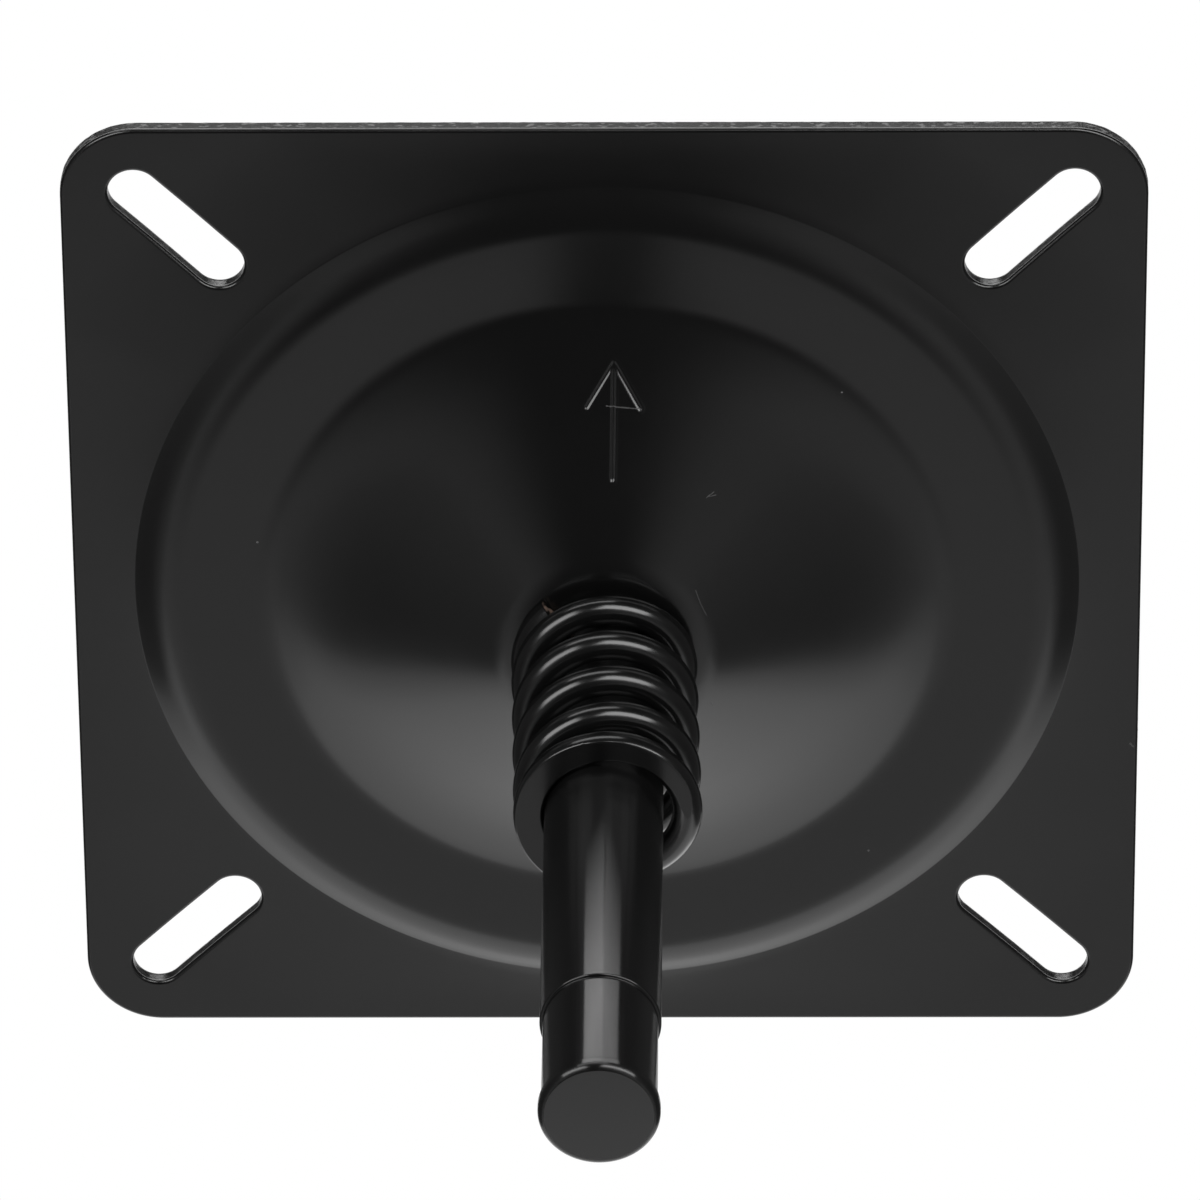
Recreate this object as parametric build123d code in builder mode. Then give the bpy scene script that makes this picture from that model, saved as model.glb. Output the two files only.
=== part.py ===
from build123d import *
from math import acos, cos, degrees, radians, sin, sqrt
import os

# Seat mount: a pressed square plate bolts under a seat, and the pin welded into its dish drops into
# a pedestal with a coil spring round it. Millimetres. The seat face is z = 0 and the pin points down.

# Mounting plate
plate_side = 175.0
plate_corner_radius = 12.5
sheet_thickness = 2.5
flange_width = 10.1  # from the middle of an edge to the dish
slot_count = 4
slot_length = 27.3
slot_width = 8.4
slot_corner_margin = 7.4  # metal between a slot's outer end and the rounded corner
slot_first_angle = 45.0

# Dish pressed into the plate, measured on the lower face
dish_depth = 24.0  # from the seat face down to the hub's lower face
rim_step = 3.4  # drop from the flange to the flat shelf
rim_arc_radius = 8.7
shelf_width = 14.1
shelf_bend_radius = 18.0
hub_margin = 0.6  # flat left outside the spring
hub_bend_radius = 12.0
flange_lap = 2.0  # stretch of the flange that is turned with the dish

# Pin
pin_diameter = 19.05
pin_length = 126.3  # from the hub's lower face to the tip
lip_length = 2.6
groove_length = 21.7
groove_depth = 0.5
tip_radius = 1.2
shoulder_width = 1.5  # step from the pin down to the spigot in the hub
spigot_clearance = 0.1
spigot_stand = 3.0  # above the hub's upper face
weld_height = 2.4
weld_width = 4.0
weld_bulge = 0.5

# Spring, right-handed, with closed and ground ends
wire_diameter = 4.8
spring_pin_clearance = 0.825
spring_seat_gap = 0.2
spring_turns = 5.33
end_coil_turns = 1.0
spring_pitch = 10.2
closed_pitch = 1.9
pitch_blend_turns = 0.2
closed_coil_gap = 0.1
ground_depth = 1.6
top_end_angle = 240.0  # where the wire's upper end lies, counted from +X
points_per_turn = 16

# Heights and radii that follow from the sizes above
flange_lower = -sheet_thickness
shelf_lower = flange_lower - rim_step
hub_lower = -dish_depth
hub_upper = hub_lower + sheet_thickness
pin_radius = pin_diameter / 2
spigot_radius = pin_radius - shoulder_width
hub_hole_radius = spigot_radius + spigot_clearance
coil_radius = pin_radius + spring_pin_clearance + wire_diameter / 2
hub_radius = coil_radius + wire_diameter / 2 + hub_margin
rim_radius = plate_side / 2 - flange_width
rim_angle = acos(1 - rim_step / rim_arc_radius)
shelf_outer = rim_radius - rim_arc_radius * sin(rim_angle)
shelf_inner = shelf_outer - shelf_width
corner_reach = sqrt(2) * (plate_side / 2 - plate_corner_radius) + plate_corner_radius
slot_centre_radius = corner_reach - slot_corner_margin - slot_length / 2


def pitch_ramp(turns):
    """Turns gained at full pitch, when the pitch comes in evenly over the blend."""
    if turns <= 0:
        return 0.0
    if turns < pitch_blend_turns:
        return turns**2 / (2 * pitch_blend_turns)
    return turns - pitch_blend_turns / 2


def wire_rise(turn):
    """Height of the wire's centre above its lower end, at a number of turns along it."""
    opened = pitch_ramp(turn - closed_turns)
    closed_again = pitch_ramp(turn - (spring_turns - closed_turns - pitch_blend_turns))
    return closed_pitch * turn + (spring_pitch - closed_pitch) * (opened - closed_again)


# The end coils close until each wire end nearly touches the next coil, and are then ground flat
closing_rise = wire_diameter + closed_coil_gap - closed_pitch
closed_turns = 1 - pitch_blend_turns / 2 - closing_rise / (spring_pitch - closed_pitch)
ground_height = wire_diameter / 2 - ground_depth
spring_top = hub_lower - spring_seat_gap
wire_bottom = spring_top - ground_height - wire_rise(spring_turns)
spring_bottom = wire_bottom - ground_height


def wire_point(turn):
    """A point on the wire's centre line."""
    angle = radians(top_end_angle + 360 * (turn - spring_turns))
    return (coil_radius * cos(angle), coil_radius * sin(angle), wire_bottom + wire_rise(turn))


with BuildPart() as mounting_plate:
    with BuildSketch(Plane.XY.offset(flange_lower)):
        RectangleRounded(plate_side, plate_side, plate_corner_radius)
        Circle(rim_radius + flange_lap, mode=Mode.SUBTRACT)
        with PolarLocations(slot_centre_radius, slot_count, start_angle=slot_first_angle):
            SlotOverall(slot_length, slot_width, mode=Mode.SUBTRACT)
    extrude(amount=sheet_thickness)
    # The dish's lower line, from the hub hole out to the flange, thickened upwards and turned
    with BuildSketch(Plane.XZ):
        with BuildLine():
            FilletPolyline(
                (hub_hole_radius, hub_lower),
                (hub_radius, hub_lower),
                (shelf_inner, shelf_lower),
                (shelf_outer, shelf_lower),
                radius=[hub_bend_radius, shelf_bend_radius],
            )
            CenterArc((shelf_outer, shelf_lower + rim_arc_radius), rim_arc_radius, -90, degrees(rim_angle))
            Line((rim_radius, flange_lower), (rim_radius + flange_lap, flange_lower))
            offset(amount=sheet_thickness, side=Side.LEFT)
        make_face()
    revolve(axis=Axis.Z)

with BuildPart() as pin_post:
    tip = hub_lower - pin_length
    groove_bottom = tip + lip_length
    groove_top = groove_bottom + groove_length
    groove_radius = pin_radius - groove_depth
    with BuildSketch(Plane.XZ):
        with BuildLine():
            Polyline(
                (pin_radius - tip_radius, tip),
                (0, tip),
                (0, hub_upper + spigot_stand),
                (spigot_radius, hub_upper + spigot_stand),
                (spigot_radius, hub_lower),
                (pin_radius, hub_lower),
                (pin_radius, groove_top),
                (groove_radius, groove_top),
                (groove_radius, groove_bottom),
                (pin_radius, groove_bottom),
                (pin_radius, tip + tip_radius),
            )
            CenterArc((pin_radius - tip_radius, tip + tip_radius), tip_radius, -90, 90)
        make_face()
    revolve(axis=Axis.Z)

with BuildPart() as weld_bead:
    with BuildSketch(Plane.XZ):
        with BuildLine():
            toe = (spigot_radius + weld_width, hub_upper)
            crown = (spigot_radius, hub_upper + weld_height)
            Polyline(crown, (spigot_radius, hub_upper), toe)
            SagittaArc(toe, crown, -weld_bulge)
        make_face()
    revolve(axis=Axis.Z)

# The wire is swept in three stretches, so that grinding cuts only the two end coils' own faces
with BuildPart() as coil_spring:
    with BuildLine() as wire:
        steps = round(spring_turns * points_per_turn)
        Spline(*[wire_point(spring_turns * step / steps) for step in range(steps + 1)])
    end_share = end_coil_turns / spring_turns
    for start, end in ((0, end_share), (end_share, 1 - end_share), (1 - end_share, 1)):
        stretch = wire.edge().trim(start, end)
        with BuildSketch(Plane(origin=stretch @ 0, z_dir=stretch % 0)):
            Circle(wire_diameter / 2)
        sweep(path=stretch, is_frenet=True)
    split(bisect_by=Plane.XY.offset(spring_bottom), keep=Keep.TOP)
    split(bisect_by=Plane.XY.offset(spring_top), keep=Keep.BOTTOM)

os.makedirs("parts", exist_ok=True)
mounting_plate.part.label = "mounting_plate"
export_step(mounting_plate.part, "parts/mounting_plate.step")
pin_post.part.label = "pin_post"
export_step(pin_post.part, "parts/pin_post.step")
weld_bead.part.label = "weld_bead"
export_step(weld_bead.part, "parts/weld_bead.step")
coil_spring.part.label = "coil_spring"
export_step(coil_spring.part, "parts/coil_spring.step")
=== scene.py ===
from math import atan2, ceil, cos, degrees, hypot, pi, radians, sin, sqrt, tan

import bmesh
import bpy
from mathutils import Matrix, Vector, noise
from mathutils.geometry import delaunay_2d_cdt


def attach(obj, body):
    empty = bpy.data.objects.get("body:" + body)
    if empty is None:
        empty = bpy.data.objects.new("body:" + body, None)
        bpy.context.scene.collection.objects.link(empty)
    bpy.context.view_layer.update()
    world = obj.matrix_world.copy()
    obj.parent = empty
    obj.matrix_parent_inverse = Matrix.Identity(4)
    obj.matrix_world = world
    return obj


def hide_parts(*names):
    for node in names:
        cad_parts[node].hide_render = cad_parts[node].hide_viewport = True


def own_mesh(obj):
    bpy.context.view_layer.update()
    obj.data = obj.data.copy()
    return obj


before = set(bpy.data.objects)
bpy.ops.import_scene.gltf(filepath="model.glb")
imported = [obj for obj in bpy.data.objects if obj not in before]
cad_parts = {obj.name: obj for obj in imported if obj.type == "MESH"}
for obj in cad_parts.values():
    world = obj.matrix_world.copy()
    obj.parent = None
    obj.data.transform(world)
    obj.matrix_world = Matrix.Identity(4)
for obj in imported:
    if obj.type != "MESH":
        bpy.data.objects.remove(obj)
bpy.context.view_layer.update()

# Seat mount: a pressed plate with four slots, a pin welded into its dish, and a coil spring round the pin.
# Sizes are in millimetres, as in the solids, with the seat face at z = 0 and the pin pointing down.
MM = 0.001
MICRON = 0.000001

# Plate
plate_half = 87.5
corner_radius = 12.5
sheet = 2.5
slot_count = 4
slot_first_angle = 45.0
slot_length = 27.3
slot_width = 8.4
slot_corner_margin = 7.4  # metal between a slot's outer end and the rounded corner
rim_radius = 77.4  # where the dish meets the flange
flange_lap = 2.0  # stretch of the flange that is turned with the dish
hub_lower = -24.0

# Pin and weld
pin_radius = 9.525
pin_length = 126.3
lip_length = 2.6
groove_length = 21.7
groove_depth = 0.5
spigot_radius = 8.025
spigot_clearance = 0.1
spigot_stand = 3.0
weld_height = 2.4
weld_width = 4.0

# Spring
wire_radius = 2.4
coil_radius = 12.75
spring_seat_gap = 0.2
spring_turns = 5.33
closed_pitch = 1.9
open_pitch = 10.2
blend_turns = 0.2
closed_gap = 0.1
ground_depth = 1.6
top_end_angle = 240.0

# Places that follow from the sizes
flange_lower = -sheet
lap_radius = rim_radius + flange_lap
corner_reach = sqrt(2) * (plate_half - corner_radius) + corner_radius
slot_centre = corner_reach - slot_corner_margin - slot_length / 2
hub_upper = hub_lower + sheet
hub_hole = spigot_radius + spigot_clearance
spigot_top = hub_upper + spigot_stand
pin_tip = hub_lower - pin_length
spring_top = hub_lower - spring_seat_gap


# Mesh helpers, in millimetres until the mesh is handed over


def rounded_line(points, radii, step):
    """A polyline with its inner corners rounded in steps of some degrees, as (r, z) points."""
    line = [Vector(points[0])]
    for before, corner, after, radius in zip(points, points[1:], points[2:], radii):
        before, corner, after = Vector(before), Vector(corner), Vector(after)
        back, on = (before - corner).normalized(), (after - corner).normalized()
        half = back.angle(on) / 2
        reach = radius / sin(half)
        centre = corner + (back + on).normalized() * reach
        first = corner + back * (reach * cos(half))
        sweep = pi - 2 * half
        turn = 1 if back.cross(on) < 0 else -1
        count = max(2, ceil(degrees(sweep) / step))
        for k in range(count + 1):
            line.append(centre + Matrix.Rotation(turn * sweep * k / count, 2) @ (first - centre))
    line.append(Vector(points[-1]))
    return line


def divided(line, longest):
    """The line with points added so that no piece of it is longer than longest(point)."""
    out = [line[0]]
    for a, b in zip(line, line[1:]):
        count = max(1, ceil((b - a).length / longest((a + b) / 2)))
        out.extend(a.lerp(b, k / count) for k in range(1, count + 1))
    return out


def turned(bm, line, arcs):
    """Turns a line of (r, z) points about the Z axis, over arcs of (start, sweep, steps) in degrees."""
    for start, sweep, steps in arcs:
        a = radians(start)
        verts = [bm.verts.new((point.x * cos(a), point.x * sin(a), point.y)) for point in line]
        edges = [bm.edges.new(pair) for pair in zip(verts, verts[1:])]
        bmesh.ops.spin(
            bm, geom=verts + edges, cent=(0, 0, 0), axis=(0, 0, 1), dvec=(0, 0, 0), angle=radians(sweep),
            steps=steps, use_merge=sweep == 360, use_normal_flip=False, use_duplicate=False,
        )


def turn_outwards(bm):
    """Points all faces of a closed mesh outwards, which makes its volume positive."""
    bmesh.ops.recalc_face_normals(bm, faces=bm.faces[:])
    if bm.calc_volume(signed=True) < 0:
        bmesh.ops.reverse_faces(bm, faces=bm.faces[:])


def merged(bm, distance):
    """Joins points that lie together and points all faces outwards."""
    bmesh.ops.remove_doubles(bm, verts=bm.verts[:], dist=distance)
    turn_outwards(bm)


def sharpen(bm, limit):
    """Marks edges sharp where their faces meet at more than limit degrees."""
    for edge in bm.edges:
        edge.smooth = not (len(edge.link_faces) == 2 and edge.calc_face_angle(0) > radians(limit))


def piece(name, bm, body, node, slot, *materials):
    """Hands a mesh over as an object that rides on a body and stands for a CAD node."""
    turn_outwards(bm)
    bmesh.ops.scale(bm, vec=(MM, MM, MM), verts=bm.verts[:])
    for face in bm.faces:
        face.smooth = True
    mesh = bpy.data.meshes.new(name)
    bm.to_mesh(mesh)
    bm.free()
    for material in materials:
        mesh.materials.append(material)
    obj = bpy.data.objects.new(name, mesh)
    bpy.context.collection.objects.link(obj)
    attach(obj, body)
    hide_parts(node)
    return obj


# Shader helpers


def add(tree, kind, feeds=(), **settings):
    """A node with its settings, fed with sockets or plain values in order or by a dictionary."""
    made = tree.nodes.new(kind)
    for key, value in settings.items():
        setattr(made, key, value)
    for key, value in feeds.items() if isinstance(feeds, dict) else enumerate(feeds):
        if isinstance(value, bpy.types.NodeSocket):
            tree.links.new(value, made.inputs[key])
        else:
            made.inputs[key].default_value = value
    return made


def scalar(tree, operation, *feeds, clamp=False):
    """The result of an operation on plain values."""
    return add(tree, "ShaderNodeMath", feeds, operation=operation, use_clamp=clamp).outputs[0]


def vector(tree, operation, *feeds):
    """The result of an operation on vectors."""
    made = add(tree, "ShaderNodeVectorMath", feeds, operation=operation)
    return made.outputs["Value" if operation in ("LENGTH", "DOT_PRODUCT") else "Vector"]


def spread(tree, value, low, high, to_low=0.0, to_high=1.0):
    """A value mapped smoothly from one range to another."""
    feeds = {"Value": value, "From Min": low, "From Max": high, "To Min": to_low, "To Max": to_high}
    return add(tree, "ShaderNodeMapRange", feeds, interpolation_type="SMOOTHSTEP").outputs["Result"]


def blend(tree, share, first, second):
    """Two colours mixed. The mix node's colour sockets are its seventh and eighth."""
    return add(tree, "ShaderNodeMix", {0: share, 6: first, 7: second}, data_type="RGBA").outputs[2]


def speckle(tree, place, scale, detail):
    """A noise texture's value."""
    return add(tree, "ShaderNodeTexNoise", {"Vector": place, "Scale": scale, "Detail": detail}).outputs["Fac"]


def bump(tree, distance, height, **normal):
    """The normal after a bump, on top of another normal where one is given."""
    feeds = {"Strength": 1.0, "Distance": distance, "Height": height}
    return add(tree, "ShaderNodeBump", {**feeds, **normal}).outputs["Normal"]


def new_group(name, inputs, outputs):
    """An empty node group with named sockets."""
    tree = bpy.data.node_groups.new(name, "ShaderNodeTree")
    for label, kind in inputs.items():
        tree.interface.new_socket(label, in_out="INPUT", socket_type="NodeSocket" + kind)
    for label, kind in outputs.items():
        tree.interface.new_socket(label, in_out="OUTPUT", socket_type="NodeSocket" + kind)
    return tree, tree.nodes.new("NodeGroupInput").outputs, tree.nodes.new("NodeGroupOutput").inputs


def use_group(tree, group, feeds):
    """The outputs of a node group placed in a material."""
    return add(tree, "ShaderNodeGroup", feeds, node_tree=group).outputs


def new_material(name):
    """A material with its tree and its shader."""
    material = bpy.data.materials.new(name)
    material.use_nodes = True
    return material, material.node_tree, material.node_tree.nodes["Principled BSDF"]


def object_place(tree):
    """The place on the object, in metres."""
    return add(tree, "ShaderNodeTexCoord").outputs["Object"]


def grey(value):
    """A grey as a colour."""
    return (value, value, value, 1)


# Effects that the paints share


def sprayed_group():
    """Sprayed paint: slow waves in the metal, the fine peel of the paint, and a cloud for uneven gloss."""
    tree, given, out = new_group(
        "sprayed",
        {"Place": "Vector", "Wave": "Float", "Peel": "Float"},
        {"Normal": "Vector", "Cloud": "Float"},
    )
    waved = bump(tree, given["Wave"], speckle(tree, given["Place"], 60.0, 1.0))
    peeled = bump(tree, given["Peel"], speckle(tree, given["Place"], 520.0, 2.0), Normal=waved)
    tree.links.new(peeled, out["Normal"])
    tree.links.new(speckle(tree, given["Place"], 38.0, 4.0), out["Cloud"])
    return tree


def dust_group():
    """Dust: a few specks, one at most in each cell."""
    tree, given, out = new_group(
        "dust",
        {"Place": "Vector", "Share": "Float", "Size": "Float"},
        {"Mask": "Float"},
    )
    cells = add(tree, "ShaderNodeTexVoronoi", {"Vector": given["Place"], "Scale": 210.0, "Randomness": 1.0})
    pick = add(tree, "ShaderNodeSeparateColor", {"Color": cells.outputs["Color"]}).outputs
    chosen = scalar(tree, "LESS_THAN", pick["Red"], given["Share"])
    size = scalar(tree, "MULTIPLY", given["Size"], pick["Green"])
    inside = scalar(tree, "LESS_THAN", cells.outputs["Distance"], size)
    tree.links.new(scalar(tree, "MULTIPLY", chosen, inside), out["Mask"])
    return tree


def mark_group():
    """Mark: a thin broken line between two places."""
    tree, given, out = new_group(
        "mark",
        {"Place": "Vector", "From": "Vector", "To": "Vector", "Width": "Float"},
        {"Mask": "Float"},
    )
    way = vector(tree, "SUBTRACT", given["To"], given["From"])
    arm = vector(tree, "SUBTRACT", given["Place"], given["From"])
    length = scalar(tree, "MAXIMUM", vector(tree, "DOT_PRODUCT", way, way), 1e-9)
    along = scalar(tree, "DIVIDE", vector(tree, "DOT_PRODUCT", arm, way), length, clamp=True)
    foot = add(tree, "ShaderNodeVectorMath", {"Vector": way, "Scale": along}, operation="SCALE")
    away = vector(tree, "LENGTH", vector(tree, "SUBTRACT", arm, foot.outputs["Vector"]))
    broken = spread(tree, speckle(tree, given["Place"], 2600.0, 2.0), 0.3, 0.6, 0.3, 1.2)
    width = scalar(tree, "MULTIPLY", given["Width"], broken)
    tree.links.new(scalar(tree, "LESS_THAN", away, width), out["Mask"])
    return tree


def torn_group():
    """Torn metal: the coarse face that shearing leaves, with pale flecks."""
    tree, given, out = new_group(
        "torn",
        {"Place": "Vector", "Mask": "Float", "Normal": "Vector"},
        {"Normal": "Vector", "Flecks": "Float"},
    )
    grit = speckle(tree, given["Place"], 1900.0, 3.0)
    upright = vector(tree, "MULTIPLY", given["Place"], (1.0, 1.0, 0.25))
    level = vector(tree, "MULTIPLY", given["Place"], (1.0, 1.0, 2.5))
    height = scalar(tree, "ADD", grit, speckle(tree, upright, 1300.0, 2.0))
    height = scalar(tree, "MULTIPLY", height, given["Mask"])
    tree.links.new(bump(tree, 180 * MICRON, height, Normal=given["Normal"]), out["Normal"])
    flecks = spread(tree, speckle(tree, level, 700.0, 2.0), 0.55, 0.66)
    tree.links.new(scalar(tree, "MULTIPLY", flecks, given["Mask"]), out["Flecks"])
    return tree


sprayed = sprayed_group()
dust = dust_group()
mark = mark_group()
torn = torn_group()


# Paints

dust_cover = 0.5  # how much a speck of dust hides the paint under it


def new_paint(name, wave, peel):
    """A sprayed material with its tree, shader, place and skin. Wave and peel are heights in microns."""
    material, tree, shader = new_material(name)
    place = object_place(tree)
    skin = use_group(tree, sprayed, {"Place": place, "Wave": wave * MICRON, "Peel": peel * MICRON})
    tree.links.new(skin["Normal"], shader.inputs["Normal"])
    return material, tree, shader, place, skin


def specks_of_dust(tree, place, share, size):
    """A mask of dust specks, in a share of the cells and of some size against a cell."""
    return use_group(tree, dust, {"Place": place, "Share": share, "Size": size})["Mask"]


def under_dust(tree, specks, colour, shade):
    """A colour with grey specks on it."""
    return blend(tree, scalar(tree, "MULTIPLY", specks, dust_cover), colour, grey(shade))


def uneven_gloss(tree, skin, low, high):
    """A roughness that drifts between two values."""
    return spread(tree, skin["Cloud"], 0.3, 0.7, low, high)


# Small scratches in the dish and a nick on the flange: start, end and width
scratches = (
    ((0.25, -40.87), (5.66, -40.35), 0.09),
    ((16.4, -26.3), (17.6, -27.0), 0.09),
    ((16.9, -26.4), (17.9, -26.5), 0.07),
    ((14.6, -12.2), (15.5, -9.6), 0.06),
    ((15.5, -9.6), (16.4, -7.6), 0.05),
    ((17.1, 10.2), (17.3, 10.8), 0.10),
    ((86.3, 31.6), (86.8, 32.2), 0.16),
)


def scratch_mask(tree, place):
    """All scratches as one mask on the faces that look down."""
    flat_place = vector(tree, "MULTIPLY", place, (1.0, 1.0, 0.0))
    total = 0.0
    for start, end, width in scratches:
        start, end = Vector((*start, 0)) * MM, Vector((*end, 0)) * MM
        feeds = {"Place": flat_place, "From": start, "To": end, "Width": width * MM}
        total = scalar(tree, "MAXIMUM", use_group(tree, mark, feeds)["Mask"], total)
    normal = add(tree, "ShaderNodeNewGeometry").outputs["Normal"]
    facing_down = vector(tree, "DOT_PRODUCT", normal, (0.0, 0.0, -1.0))
    return scalar(tree, "MULTIPLY", total, scalar(tree, "GREATER_THAN", facing_down, 0.2))


worn_highlight_value = 2.0  # the rim attribute on the burnished band, past the torn share of 0 to 1; that band is painted pale, as worn paint and as a painted highlight of the edge


def make_plate_paint():
    """Gloss black, thin over the torn edges, and pale on the burnished band below them as worn paint and a
    painted highlight of the edge.
    """
    material, tree, shader, place, skin = new_paint("plate_paint", 22, 2.2)
    rim_value = add(tree, "ShaderNodeAttribute", attribute_name="rim").outputs["Fac"]
    torn_share = scalar(tree, "MINIMUM", rim_value, 1.0)
    # a pale band along the burnished edge: worn paint, and a painted highlight of the edge
    worn_highlight = scalar(tree, "GREATER_THAN", rim_value, (1.0 + worn_highlight_value) / 2)
    sheared = use_group(tree, torn, {"Place": place, "Mask": torn_share, "Normal": skin["Normal"]})
    specks = specks_of_dust(tree, place, 0.05, 0.05)
    scratched = scratch_mask(tree, place)
    colour = blend(tree, torn_share, grey(0.003), grey(0.006))
    colour = blend(tree, sheared["Flecks"], colour, grey(0.13))
    colour = blend(tree, worn_highlight, colour, grey(0.2))
    colour = under_dust(tree, specks, colour, 0.22)
    colour = blend(tree, scratched, colour, grey(0.035))
    tree.links.new(colour, shader.inputs["Base Color"])
    torn_matt = scalar(tree, "MULTIPLY", torn_share, 0.28)
    marks_matt = scalar(tree, "MULTIPLY", scalar(tree, "ADD", specks, scratched), 0.3)
    gloss = scalar(tree, "ADD", uneven_gloss(tree, skin, 0.18, 0.22), torn_matt)
    tree.links.new(scalar(tree, "ADD", gloss, marks_matt, clamp=True), shader.inputs["Roughness"])
    tree.links.new(sheared["Normal"], shader.inputs["Normal"])
    return material


def make_pin_paint():
    """Gloss black on turned metal, so its gloss is drawn out along the pin."""
    material, tree, shader, place, skin = new_paint("pin_paint", 4, 1.2)
    specks = specks_of_dust(tree, place, 0.07, 0.05)
    tree.links.new(under_dust(tree, specks, grey(0.0035), 0.2), shader.inputs["Base Color"])
    tree.links.new(uneven_gloss(tree, skin, 0.215, 0.235), shader.inputs["Roughness"])
    shader.inputs["Anisotropic"].default_value = 0.9
    shader.inputs["Anisotropic Rotation"].default_value = 0.25
    tree.links.new(vector(tree, "CROSS_PRODUCT", (0.0, 0.0, 1.0), place), shader.inputs["Tangent"])
    return material


def make_pin_end_paint():
    """The pin's sawn end, matt under its paint."""
    material, tree, shader, place, skin = new_paint("pin_end_paint", 10, 4)
    specks = specks_of_dust(tree, place, 0.08, 0.06)
    tree.links.new(under_dust(tree, specks, grey(0.017), 0.1), shader.inputs["Base Color"])
    tree.links.new(uneven_gloss(tree, skin, 0.4, 0.5), shader.inputs["Roughness"])
    return material


def make_spring_paint():
    """Gloss black, chipped to rusty metal at the wire's upper end."""
    material, tree, shader, place, skin = new_paint("spring_paint", 10, 2.5)
    specks = specks_of_dust(tree, place, 0.06, 0.05)
    wire_end = add(tree, "ShaderNodeAttribute", attribute_name="wire_end").outputs["Fac"]
    flakes = spread(tree, speckle(tree, place, 620.0, 2.0), 0.44, 0.56)
    chip = scalar(tree, "MULTIPLY", wire_end, flakes)
    colour = under_dust(tree, specks, grey(0.0035), 0.2)
    tree.links.new(blend(tree, chip, colour, (0.13, 0.09, 0.07, 1)), shader.inputs["Base Color"])
    chip_matt = scalar(tree, "MULTIPLY", chip, 0.35)
    gloss = scalar(tree, "ADD", uneven_gloss(tree, skin, 0.18, 0.23), chip_matt)
    tree.links.new(gloss, shader.inputs["Roughness"])
    return material


def make_weld_paint():
    """Gloss black over the rough bead."""
    material, tree, shader, _, skin = new_paint("weld_paint", 30, 4)
    shader.inputs["Base Color"].default_value = grey(0.004)
    tree.links.new(uneven_gloss(tree, skin, 0.22, 0.32), shader.inputs["Roughness"])
    return material


# Dish: turned, with the arrow engraved in its lower face

rim_dip = 0.9  # how far pressing sinks the flange at the rim of the dish
dip_reach = 24.0  # farthest that the sinking runs out into the flange
dip_power = 1.5

arrow_tip = (1.48, -47.3)
arrow_lines = ((arrow_tip, (-2.94, -40.65)), (arrow_tip, (5.69, -40.34)), (arrow_tip, (1.17, -30.06)))
arrow_half_width = 0.37
arrow_depth = 0.21
arrow_lip = 0.04

# The mesh is finer round the arrow: arcs as (start, sweep, steps), and rows between two radii
dish_arcs = ((-97.5, 19.0, 76), (-78.5, 341.0, 190))
arrow_rows = (28.5, 49.7)
arrow_row_step = 0.25
lower_row_step = 2.5
upper_row_step = 3.0
slope_step = 0.5

# The lower face's slope at each radius: from hub to shelf as a share of the cone's, on the wall in degrees
shelf_outer = 69.4
cone_slopes = (
    (hub_hole, 0.0), (13.0, 0.0), (18.6, 1.0), (arrow_rows[0], 1.0), (37.0, 1.0), (42.0, 0.955), (46.0, 0.87),
    (50.0, 0.74), (54.0, 0.61), (55.3, 0.46), (56.5, 0.22), (57.8, 0.0), (shelf_outer, 0.0),
)
wall_slope = 27.5
wall_slopes = ((shelf_outer, 0.0), (75.0, wall_slope), (rim_radius, wall_slope))
gentlest_cone, steepest_cone = 15.0, 40.0  # degrees, the range that is searched
cone_halvings = 40
crease_radius = 0.5
crease_step = 7.0


def pressed(place):
    """Lets the flange sink towards the rim of the dish, as pressing leaves it, and the dish with it."""
    r = hypot(place.x, place.y)
    share = 0.0
    if r > rim_radius:
        edge = plate_half * r / max(abs(place.x), abs(place.y))
        share = min(1, (r - rim_radius) / min(edge - rim_radius, dip_reach))
    place.z -= rim_dip * (1 - share) ** dip_power
    return place


def line_distance(x, y, line):
    """How far a point lies from a straight line between two points."""
    (ax, ay), (bx, by) = line
    along = ((x - ax) * (bx - ax) + (y - ay) * (by - ay)) / ((bx - ax) ** 2 + (by - ay) ** 2)
    along = min(1, max(0, along))
    return hypot(x - ax - along * (bx - ax), y - ay - along * (by - ay))


def engraved(place):
    """Sinks the arrow's strokes into the lower face, with a low lip thrown up beside them."""
    near = min(line_distance(place.x, place.y, line) for line in arrow_lines)
    if near < arrow_half_width:
        place.z += arrow_depth * (1 - near / arrow_half_width)
    elif near < 2 * arrow_half_width:
        place.z -= arrow_lip * sin(pi * (near / arrow_half_width - 1))
    return place


def sloped_line(slopes, steepest):
    """Points (r, rise) along a line whose slope is given at some radii, as shares of the steepest."""
    line = [Vector((slopes[0][0], 0.0))]
    for (r0, s0), (r1, s1) in zip(slopes, slopes[1:]):
        count = ceil((r1 - r0) / slope_step) if s0 != s1 else 1
        step = (r1 - r0) / count
        for k in range(count):
            slope = radians(steepest) * (s0 + (s1 - s0) * (k + 0.5) / count)
            line.append(line[-1] + Vector((step, step * tan(slope))))
    return line


def cone_line(rise):
    """The line of hub, cone and shelf, with the cone just steep enough for a rise, found by halving."""
    low, high = gentlest_cone, steepest_cone
    for _ in range(cone_halvings):
        steepest = (low + high) / 2
        line = sloped_line(cone_slopes, steepest)
        if line[-1].y < rise:
            low = steepest
        else:
            high = steepest
    return line


def dish_line():
    """The dish's lower line, from the hub's hole out to the lap on the flange, before the flange sinks."""
    wall = sloped_line(wall_slopes, 1.0)
    shelf_lower = flange_lower - wall[-1].y
    rise = shelf_lower - (hub_lower + rim_dip)
    line = [point + Vector((0, shelf_lower - rise)) for point in cone_line(rise)]
    line += [point + Vector((0, shelf_lower)) for point in wall[1:-1]]
    crease = [line[-1], (rim_radius, flange_lower), (lap_radius, flange_lower)]
    return line + rounded_line(crease, [crease_radius], crease_step)[1:]


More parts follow.
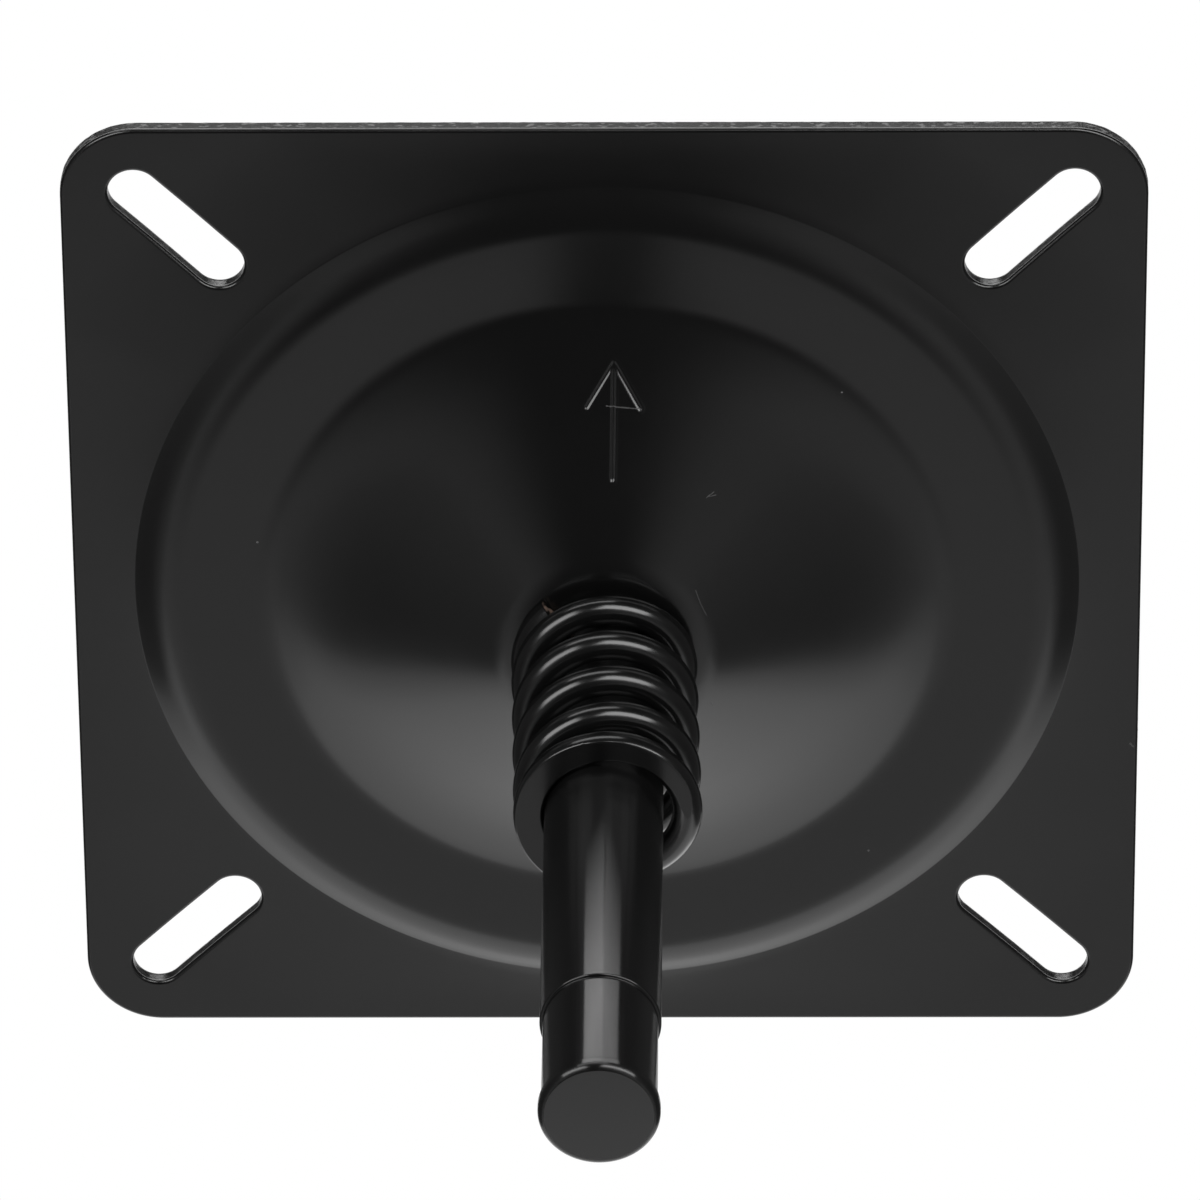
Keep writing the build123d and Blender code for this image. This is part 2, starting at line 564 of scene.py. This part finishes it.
def offset_line(line, amount):
    """The line moved sideways by amount."""
    out = []
    for k, point in enumerate(line):
        ways = []
        if k:
            ways.append((point - line[k - 1]).normalized())
        if k < len(line) - 1:
            ways.append((line[k + 1] - point).normalized())
        way = sum(ways, Vector((0, 0))).normalized()
        out.append(point + Vector((-way.y, way.x)) * amount)
    return out


def lower_step(point):
    """The longest mesh step along the dish's lower line."""
    return arrow_row_step if arrow_rows[0] < point.x < arrow_rows[1] else lower_row_step


def upper_step(point):
    """The longest mesh step along the dish's upper line."""
    return upper_row_step


# Flange: a fine flat mesh between the plate's outline, the slots and the dish

flange_spacing = 3.0
loop_margin = 1.6  # kept clear of mesh points inside the outline and round the dish
slot_margin = 1.5
outline_arc_step, outline_line_step = 0.6, 0.8
slot_arc_step, slot_line_step = 0.45, 0.6


def rounded_square(half, radius, arc_step, line_step):
    """Points round a square with rounded corners, anticlockwise."""
    points = []
    inner = half - radius
    arcs = round(radius * pi / 2 / arc_step)
    rows = round(2 * inner / line_step)
    for quarter in range(4):
        side = []
        for k in range(arcs + 1):
            a = pi / 2 * k / arcs
            side.append((inner + radius * cos(a), inner + radius * sin(a)))
        side += [(inner - 2 * inner * k / rows, half) for k in range(1, rows)]
        ca, sa = cos(quarter * pi / 2), sin(quarter * pi / 2)
        points.extend((x * ca - y * sa, x * sa + y * ca) for x, y in side)
    return points


def slot_points(angle, half_length, radius, arc_step, line_step):
    """Points round one slot that lies along a diagonal, anticlockwise."""
    flat = half_length - radius
    points = []
    arcs = round(pi * radius / arc_step)
    rows = round(2 * flat / line_step)
    for side in (1, -1):
        for k in range(arcs + 1):
            a = -pi / 2 + pi * k / arcs
            points.append((side * (flat + radius * cos(a)), side * radius * sin(a)))
        for k in range(1, rows):
            points.append((side * (flat - 2 * flat * k / rows), side * radius))
    ca, sa = cos(angle), sin(angle)
    return [((slot_centre + x) * ca - y * sa, (slot_centre + x) * sa + y * ca) for x, y in points]


def in_slot(x, y, margin):
    """Whether a point lies in a slot or within a margin outside it."""
    along = (abs(x) + abs(y)) / sqrt(2) - slot_centre
    across = (abs(x) - abs(y)) / sqrt(2)
    flat = (slot_length - slot_width) / 2
    return hypot(max(0, abs(along) - flat), across) < slot_width / 2 + margin


def in_outline(x, y, margin):
    """Whether a point lies inside the plate's outline by more than a margin."""
    inner = plate_half - corner_radius
    dx, dy = max(0, abs(x) - inner), max(0, abs(y) - inner)
    return hypot(dx, dy) < corner_radius - margin


def flange_faces(loops):
    """Points and triangles of the flat flange, and which of the loops' points each point comes from."""
    points, edges = [], []
    for loop in loops:
        first = len(points)
        points.extend(loop)
        edges.extend((first + k, first + (k + 1) % len(loop)) for k in range(len(loop)))
    row_height = flange_spacing * sqrt(3) / 2
    for row in range(int(2 * plate_half / row_height) + 1):
        y = -plate_half + row * row_height
        for column in range(int(2 * plate_half / flange_spacing) + 1):
            x = -plate_half + (column + 0.5 * (row % 2)) * flange_spacing
            clear_of_dish = hypot(x, y) > lap_radius + loop_margin
            if clear_of_dish and in_outline(x, y, loop_margin) and not in_slot(x, y, slot_margin):
                points.append((x, y))
    made, _, faces, sources, *_ = delaunay_2d_cdt([Vector(point) for point in points], edges, [], 0, 1e-6)
    kept = []
    for face in faces:
        x = sum(made[k].x for k in face) / len(face)
        y = sum(made[k].y for k in face) / len(face)
        if in_outline(x, y, 0) and not in_slot(x, y, 0) and hypot(x, y) > lap_radius:
            kept.append(face)
    return made, kept, [given[0] for given in sources]


# Sheared edges, as (reach, height) rows from the lower face up: rolled over, burnished, torn, and a burr

roll = 0.55
roll_step = 15  # degrees
burnish = 0.14
burr = 0.18
shoulder_in, shoulder_down = 0.05, 0.04  # where the torn metal turns in to the burr
torn_rows = 5
torn_top = sheet - 0.1
torn_noise = ((0.05, 0.9, 0.9), (0.03, 2.3, 2.4))  # depth, and how fast it changes along and up the edge
torn_from = roll + burnish
rolled = [(roll * sin(a), roll * (1 - cos(a))) for a in map(radians, range(0, 91, roll_step))]
rim_rows = rolled + [(roll, torn_from + (torn_top - torn_from) * k / torn_rows) for k in range(torn_rows + 1)]
rim_rows += [(roll - shoulder_in, sheet - shoulder_down), (roll - burr, sheet)]


def outward_ways(loop, outward):
    """At each point of a loop, the way out of the metal. Outward is 1 for the outline and -1 for a slot."""
    ways = []
    for k in range(len(loop)):
        (px, py), (nx, ny) = loop[k - 1], loop[(k + 1) % len(loop)]
        way = Vector((nx - px, ny - py)).normalized()
        ways.append(Vector((way.y, -way.x)) * outward)
    return ways


def moved_out(loop, ways, amount):
    """The loop moved along its ways out of the metal."""
    return [(x + way.x * amount, y + way.y * amount) for (x, y), way in zip(loop, ways)]


def torn_reach(x, y, height, seed):
    """How far the torn metal stands out at a place on the edge."""
    total = 0.0
    for depth, along, up in torn_noise:
        total += depth * noise.noise(Vector((x * along, y * along, height * up + seed)))
    return total


def rim(bm, loop, outward, seed, coarse):
    """The sheared edge of the sheet along a loop, with its share of tearing kept in the face layers."""
    strip_layer = bm.faces.layers.int["strip"]
    rim_layer = bm.faces.layers.float["rim"]
    ways = outward_ways(loop, outward)
    rows = []
    for n, (reach, height) in enumerate(rim_rows):
        is_torn = len(rolled) < n < len(rim_rows) - 1
        verts = []
        for (x, y), way in zip(loop, ways):
            move = reach - roll
            if is_torn:
                move += coarse * torn_reach(x, y, height, seed)
            verts.append(bm.verts.new((x + way.x * move, y + way.y * move, flange_lower + height)))
        rows.append([bm.edges.new((verts[k - 1], verts[k])) for k in range(len(verts))])
    for n, (low, high) in enumerate(zip(rows, rows[1:])):
        value = coarse if n >= len(rolled) else 0.0
        # the band just above the roll takes the pale paint: worn paint and a painted highlight
        if n == len(rolled) - 1:
            value = worn_highlight_value
        for face in bmesh.ops.bridge_loops(bm, edges=low + high)["faces"]:
            face[strip_layer] = 1
            face[rim_layer] = value


# Mounting plate

plate_merge = 0.01
plate_sharp_angle = 45
slot_coarse = 0.25  # a slot's edge is torn less than the outline
slot_seed_step = 9.0


def make_plate():
    """The dish is turned from one line, the flange is filled in flat, and the rims close its edges."""
    bm = bmesh.new()
    bm.faces.layers.float.new("rim")
    strip_layer = bm.faces.layers.int.new("strip")
    dish_lower = dish_line()
    dish_upper = offset_line(dish_lower, sheet)
    section = [*reversed(divided(dish_upper, upper_step)), *divided(dish_lower, lower_step)]
    turned(bm, section, dish_arcs)

    outline = rounded_square(plate_half, corner_radius, outline_arc_step, outline_line_step)
    slot_angles = [radians(slot_first_angle + 360 / slot_count * k) for k in range(slot_count)]
    slots = [
        slot_points(angle, slot_length / 2, slot_width / 2, slot_arc_step, slot_line_step)
        for angle in slot_angles
    ]
    lap_ring = []
    for start, sweep, steps in dish_arcs:
        for a in (radians(start + sweep * k / steps) for k in range(steps)):
            lap_ring.append((lap_radius * cos(a), lap_radius * sin(a)))
    flat_points, flat_faces, sources = flange_faces((outline, *slots, lap_ring))
    for height, edge_depth in ((flange_lower, roll), (0.0, burr)):
        edge_places = moved_out(outline, outward_ways(outline, 1), -edge_depth)
        for slot in slots:
            edge_places += moved_out(slot, outward_ways(slot, -1), -edge_depth)
        verts = []
        for point, source in zip(flat_points, sources):
            x, y = edge_places[source] if source < len(edge_places) else point
            verts.append(bm.verts.new((x, y, height)))
        for face in flat_faces:
            bm.faces.new([verts[k] for k in face])
    rim(bm, outline, 1, 0.0, 1.0)
    for k, slot in enumerate(slots):
        rim(bm, slot, -1, slot_seed_step * (k + 1), slot_coarse)

    merged(bm, plate_merge)
    bm.normal_update()
    for vert in bm.verts:
        if vert.normal.z < 0:
            vert.co = engraved(vert.co)
        vert.co = pressed(vert.co)
    sharpen(bm, plate_sharp_angle)
    for edge in bm.edges:
        if len({face[strip_layer] for face in edge.link_faces}) == 2:
            edge.smooth = False
    piece("mounting_plate_body", bm, "mount", "mounting_plate", "plate_paint", make_plate_paint())


make_plate()


# Pin, turned, with a shallow groove and a small lip at the tip

turned_merge = 0.0005
turned_sharp_angle = 50
pin_segments = 192
pin_round_step = 9.0
end_face_depth = 0.01
groove_low = pin_tip + lip_length
groove_high = groove_low + groove_length
groove_radius = pin_radius - groove_depth
pin_corners = (  # place and rounding
    ((pin_radius, pin_tip), 1.2),
    ((pin_radius, groove_low), 0.36),
    ((groove_radius, groove_low), 0.1),
    ((groove_radius, groove_high), 0.12),
    ((pin_radius, groove_high), 0.3),
    ((pin_radius, hub_lower), 0.2),
    ((spigot_radius, hub_lower), 0.1),
    ((spigot_radius, spigot_top), 0.8),
)


def make_pin():
    """The pin from one turned line. Its end face has a material of its own."""
    bm = bmesh.new()
    places = [(0, pin_tip), *(place for place, _ in pin_corners), (0, spigot_top)]
    line = rounded_line(places, [radius for _, radius in pin_corners], pin_round_step)
    turned(bm, line, ((0, 360, pin_segments),))
    merged(bm, turned_merge)
    sharpen(bm, turned_sharp_angle)
    for face in bm.faces:
        if face.calc_center_median().z < pin_tip + end_face_depth:
            face.material_index = 1
    piece("pin_body", bm, "mount", "pin_post", "pin_paint", make_pin_paint(), make_pin_end_paint())


make_pin()


# Weld: a closed ring round the spigot, with the ripples of the bead

weld_segments = 400
weld_arc_steps = 12
weld_fullness = 1.2
weld_root = 0.02  # how far the bead runs into the hub
ripple_count = 44
ripple_lag = 2.2
ripple_depth = 0.11
bead_noise_depth = 0.08
bead_noise_scale = 0.5
ripple_clearance = 0.05  # the bead's foot and its side on the spigot stay plain


def rippled(place):
    """Lifts a point of the bead's crown with its ripples."""
    out = hypot(place.x, place.y) - spigot_radius
    if place.z - hub_upper > ripple_clearance and out > ripple_clearance:
        ripple = ripple_depth * sin(ripple_count * atan2(place.y, place.x) + ripple_lag * out)
        place.z += ripple + bead_noise_depth * noise.noise(place * bead_noise_scale)
    return place


def make_weld():
    """The bead from one turned line, then rippled."""
    bm = bmesh.new()
    crown = [(0.0, weld_height)]
    for k in range(1, weld_arc_steps):
        a = pi / 2 * k / weld_arc_steps
        crown.append((weld_width * sin(a) ** weld_fullness, weld_height * cos(a) ** weld_fullness))
    foot = [(weld_width, 0.0), (weld_width / 2, -weld_root), (0.0, -weld_root), (0.0, weld_height / 2)]
    line = [Vector((spigot_radius + x, hub_upper + z)) for x, z in (*crown, *foot, crown[0])]
    turned(bm, line, ((0, 360, weld_segments),))
    merged(bm, turned_merge)
    for vert in bm.verts:
        vert.co = rippled(vert.co)
    sharpen(bm, turned_sharp_angle)
    piece("weld_body", bm, "mount", "weld_bead", "plate_paint", make_weld_paint())


make_weld()


# Spring: a round wire along the coil, both ends ground flat, leaning a little on the pin

wire_steps = 420
wire_sides = 28
wire_short_by = 11  # degrees that the wire stops short of its full turns
wire_turns = spring_turns - wire_short_by / 360
lean_top, lean_bottom = -0.3, 0.7
turn_step = 0.001  # for the wire's direction
ground_bevel = 0.2
ground_bevel_angle = 30
spring_merge = 0.0005
spring_sharp_angle = 28


def pitch_ramp(turns):
    """Turns gained at full pitch, when the pitch comes in evenly over the blend."""
    if turns <= 0:
        return 0.0
    if turns < blend_turns:
        return turns**2 / (2 * blend_turns)
    return turns - blend_turns / 2


def wire_rise(turn):
    """Height of the wire's centre above its lower end, at a number of turns along it."""
    gained = pitch_ramp(turn - closed_turns) - pitch_ramp(turn - (spring_turns - closed_turns - blend_turns))
    return closed_pitch * turn + (open_pitch - closed_pitch) * gained


# The end coils close until each wire end nearly touches the next coil, and are then ground flat
closing_rise = 2 * wire_radius + closed_gap - closed_pitch
closed_turns = 1 - blend_turns / 2 - closing_rise / (open_pitch - closed_pitch)
ground_height = wire_radius - ground_depth
wire_bottom = spring_top - ground_height - wire_rise(spring_turns)
spring_bottom = wire_bottom - ground_height


def wire_point(turn):
    """A point on the wire's centre line."""
    a = radians(top_end_angle + 360 * (turn - spring_turns))
    z = wire_bottom + wire_rise(turn)
    lean = lean_top + (lean_bottom - lean_top) * (spring_top - z) / (spring_top - spring_bottom)
    return Vector((coil_radius * cos(a) + lean, coil_radius * sin(a), z))


def wire_frame(turn):
    """Place and turn of the wire's round section, with its Z along the wire and its X away from the pin."""
    centre = wire_point(turn)
    way = (wire_point(turn + turn_step) - wire_point(turn - turn_step)).normalized()
    out = Vector((centre.x, centre.y, 0)).normalized()
    out = (out - way * out.dot(way)).normalized()
    return Matrix.Translation(centre) @ Matrix((out, way.cross(out), way)).transposed().to_4x4()


def is_ground(face):
    """The two ground faces have far more corners than any other."""
    return len(face.verts) > 2 * wire_sides


def make_spring():
    """A round section drawn along the coil, cut flat at both ends, with the cut edges broken."""
    bm = bmesh.new()
    end_layer = bm.faces.layers.float.new("wire_end")
    frames = [wire_frame(wire_turns * k / wire_steps) for k in range(wire_steps + 1)]
    bmesh.ops.create_circle(bm, cap_ends=True, segments=wire_sides, radius=wire_radius, matrix=frames[0])
    ring = bm.edges[:]
    for before, after in zip(frames, frames[1:]):
        made = bmesh.ops.extrude_edge_only(bm, edges=ring)["geom"]
        verts = [item for item in made if isinstance(item, bmesh.types.BMVert)]
        ring = [item for item in made if isinstance(item, bmesh.types.BMEdge)]
        bmesh.ops.transform(bm, matrix=after @ before.inverted(), verts=verts)
    for face in bmesh.ops.contextual_create(bm, geom=ring)["faces"]:
        face[end_layer] = 1.0
    for height, way in ((spring_bottom, -1), (spring_top, 1)):
        cut = bmesh.ops.bisect_plane(
            bm, geom=bm.verts[:] + bm.edges[:] + bm.faces[:], dist=1e-5, plane_co=(0, 0, height),
            plane_no=(0, 0, way), clear_outer=True,
        )
        loop = [item for item in cut["geom_cut"] if isinstance(item, bmesh.types.BMEdge)]
        bmesh.ops.holes_fill(bm, edges=loop, sides=0)
    merged(bm, spring_merge)
    ground_edges = [
        edge for face in bm.faces if is_ground(face) for edge in face.edges
        if len(edge.link_faces) == 2 and edge.calc_face_angle() > radians(ground_bevel_angle)
    ]
    bmesh.ops.bevel(
        bm, geom=ground_edges, offset=ground_bevel, offset_type="OFFSET", affect="EDGES", segments=3,
        profile=0.5, material=-1, clamp_overlap=False, loop_slide=True,
    )
    sharpen(bm, spring_sharp_angle)
    for face in bm.faces:
        if is_ground(face):
            for edge in face.edges:
                edge.smooth = False
    return piece("spring_body", bm, "spring", "coil_spring", "spring_paint", make_spring_paint())


spring = make_spring()
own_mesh(spring)


# Stage, in metres: a pale floor well below with a painted shadow on its front, a white surround, cloths that
# shape the reflections with painted light near the floor, soft lights

floor_level = -2.0
floor_radius = 2.35
# a pale floor with a painted shadow along the middle of its front: the shadow's tone, middle, half size and
# fade
shadow_patch_tone, floor_pale = 0.06, 0.74
shadow_patch_middle, shadow_patch_half, shadow_patch_fade = (-0.15, -2.45, 0.0), (0.35, 3.0, 0.0), 0.9
cloth_side = 1.5
cloth_front, cloth_back = -2.2, 1.7
cloth_top, cloth_low_top = 3.0, 2.2
cloth_above_edge = (-0.2, 2.3)
# heights over which a cloth's dark tone turns to the paler painted light near the floor
painted_light_fade = (-1.95, -0.8)
light_aim = Vector((0, 0, -0.09))

world = bpy.data.worlds.new("surround")
bpy.context.scene.world = world
world.use_nodes = True
world.node_tree.nodes["Background"].inputs["Color"].default_value = (1, 1, 1, 1)
world.node_tree.nodes["Background"].inputs["Strength"].default_value = 1.0


def stage_piece(name, mesh):
    """A matt piece of the stage. Its shader's colour is set by the caller."""
    material, tree, shader = new_material(name)
    shader.inputs["Roughness"].default_value = 0.9
    shader.inputs["Specular IOR Level"].default_value = 0.0
    mesh.materials.append(material)
    obj = bpy.data.objects.new(name, mesh)
    bpy.context.collection.objects.link(obj)
    return obj, tree, shader


def make_floor():
    """A round pale floor with a painted shadow along the middle of its front, which fades out behind and at
    the sides.
    """
    bm = bmesh.new()
    bmesh.ops.create_circle(bm, cap_ends=True, segments=96, radius=floor_radius)
    mesh = bpy.data.meshes.new("floor")
    bm.to_mesh(mesh)
    bm.free()
    floor, tree, shader = stage_piece("floor", mesh)
    floor.location = (0, 0, floor_level)
    # painted shadow: darkest in a strip along the front middle, fading to the pale floor
    place = vector(tree, "ABSOLUTE", vector(tree, "SUBTRACT", object_place(tree), shadow_patch_middle))
    outside = vector(tree, "MAXIMUM", vector(tree, "SUBTRACT", place, shadow_patch_half), (0.0, 0.0, 0.0))
    shade = spread(tree, vector(tree, "LENGTH", outside), 0.0, shadow_patch_fade, shadow_patch_tone, floor_pale)
    tree.links.new(shade, shader.inputs["Base Color"])


def cloth(name, corners, shade, low_painted_light):
    """A cloth that keeps light off the paint from one side, with a paler painted light near the floor."""
    mesh = bpy.data.meshes.new(name)
    mesh.from_pydata(corners, [], [(0, 1, 2, 3)])
    obj, tree, shader = stage_piece(name, mesh)
    height = add(tree, "ShaderNodeSeparateXYZ", {"Vector": object_place(tree)}).outputs["Z"]
    # painted light: the cloth is paler near the floor and darker above
    tree.links.new(spread(tree, height, *painted_light_fade, low_painted_light, shade), shader.inputs["Base Color"])
    obj.visible_camera = False


def hang_cloths():
    """One cloth on each side, one in front and one above the front."""
    for name, x in (("cloth_left", -cloth_side), ("cloth_right", cloth_side)):
        low = [(x, cloth_front, floor_level), (x, cloth_back, floor_level)]
        high = [(x, cloth_back, cloth_top), (x, cloth_front, cloth_top)]
        # the side cloths: dark above, with paler painted light near the floor
        cloth(name, [*low, *high], shade=0.13, low_painted_light=0.5)
    low = [(-cloth_side, cloth_front, floor_level), (cloth_side, cloth_front, floor_level)]
    high = [(cloth_side, cloth_front, cloth_low_top), (-cloth_side, cloth_front, cloth_low_top)]
    cloth("cloth_front", [*low, *high], shade=0.08, low_painted_light=0.08)
    over = [(-cloth_side, *cloth_above_edge), (cloth_side, *cloth_above_edge)]
    cloth("cloth_above", [*reversed(high), *reversed(over)], shade=0.1, low_painted_light=0.1)


def from_front(turn, rise):
    """The way out from the part, turned to the right from the front and raised from level, in degrees."""
    turn, rise = radians(turn), radians(rise)
    return Vector((sin(turn) * cos(rise), -cos(turn) * cos(rise), sin(rise)))


def soft_light(name, turn, rise, reach, width, height, radiance):
    """A soft box that faces the part, with its reach and size in metres."""
    light = bpy.data.lights.new(name, "AREA")
    light.shape = "RECTANGLE"
    light.size = width
    light.size_y = height
    light.energy = radiance * pi * width * height
    obj = bpy.data.objects.new(name, light)
    way = from_front(turn, rise)
    obj.location = light_aim + way * reach
    obj.rotation_mode = "QUATERNION"
    obj.rotation_quaternion = (-way).to_track_quat("-Z", "Y")
    bpy.context.collection.objects.link(obj)


make_floor()
hang_cloths()
soft_light("high_left", -13, 52, 1.8, 0.7, 0.38, 6.3)
soft_light("high_right", 20, 52, 1.8, 0.62, 0.38, 4.3)
soft_light("middle_front", -10, 20, 1.8, 1.5, 0.5, 3.2)
soft_light("left_front", -41, -30, 1.7, 1.1, 0.78, 6.0)
soft_light("right_front", 32, -30, 1.7, 1.5, 0.78, 7.0)
soft_light("back", 180, -14, 2.7, 3.6, 2.4, 0.4)
soft_light("floor_back", 180, 17, 2.1, 2.4, 1.0, 1.0)

# Camera, at the photograph's viewing angle: from below and in front, with a slight roll
view_target = Vector((-0.00112, -0.00002, -0.007))
view_distance = 2.0525
view_turn, view_rise, view_roll = 1.17, -56.291, 0.91

camera_data = bpy.data.cameras.new("camera")
camera_data.lens = 376.13
camera_data.sensor_width = 36.0
camera_data.clip_start, camera_data.clip_end = 0.05, 50.0
camera = bpy.data.objects.new("camera", camera_data)
bpy.context.collection.objects.link(camera)
view_way = from_front(view_turn, view_rise)
facing = (-view_way).to_track_quat("-Z", "Y").to_matrix().to_4x4()
eye = Matrix.Translation(view_target + view_way * view_distance)
camera.matrix_world = eye @ facing @ Matrix.Rotation(radians(view_roll), 4, "Z")
bpy.context.scene.camera = camera
bpy.context.scene.view_settings.view_transform = "Standard"
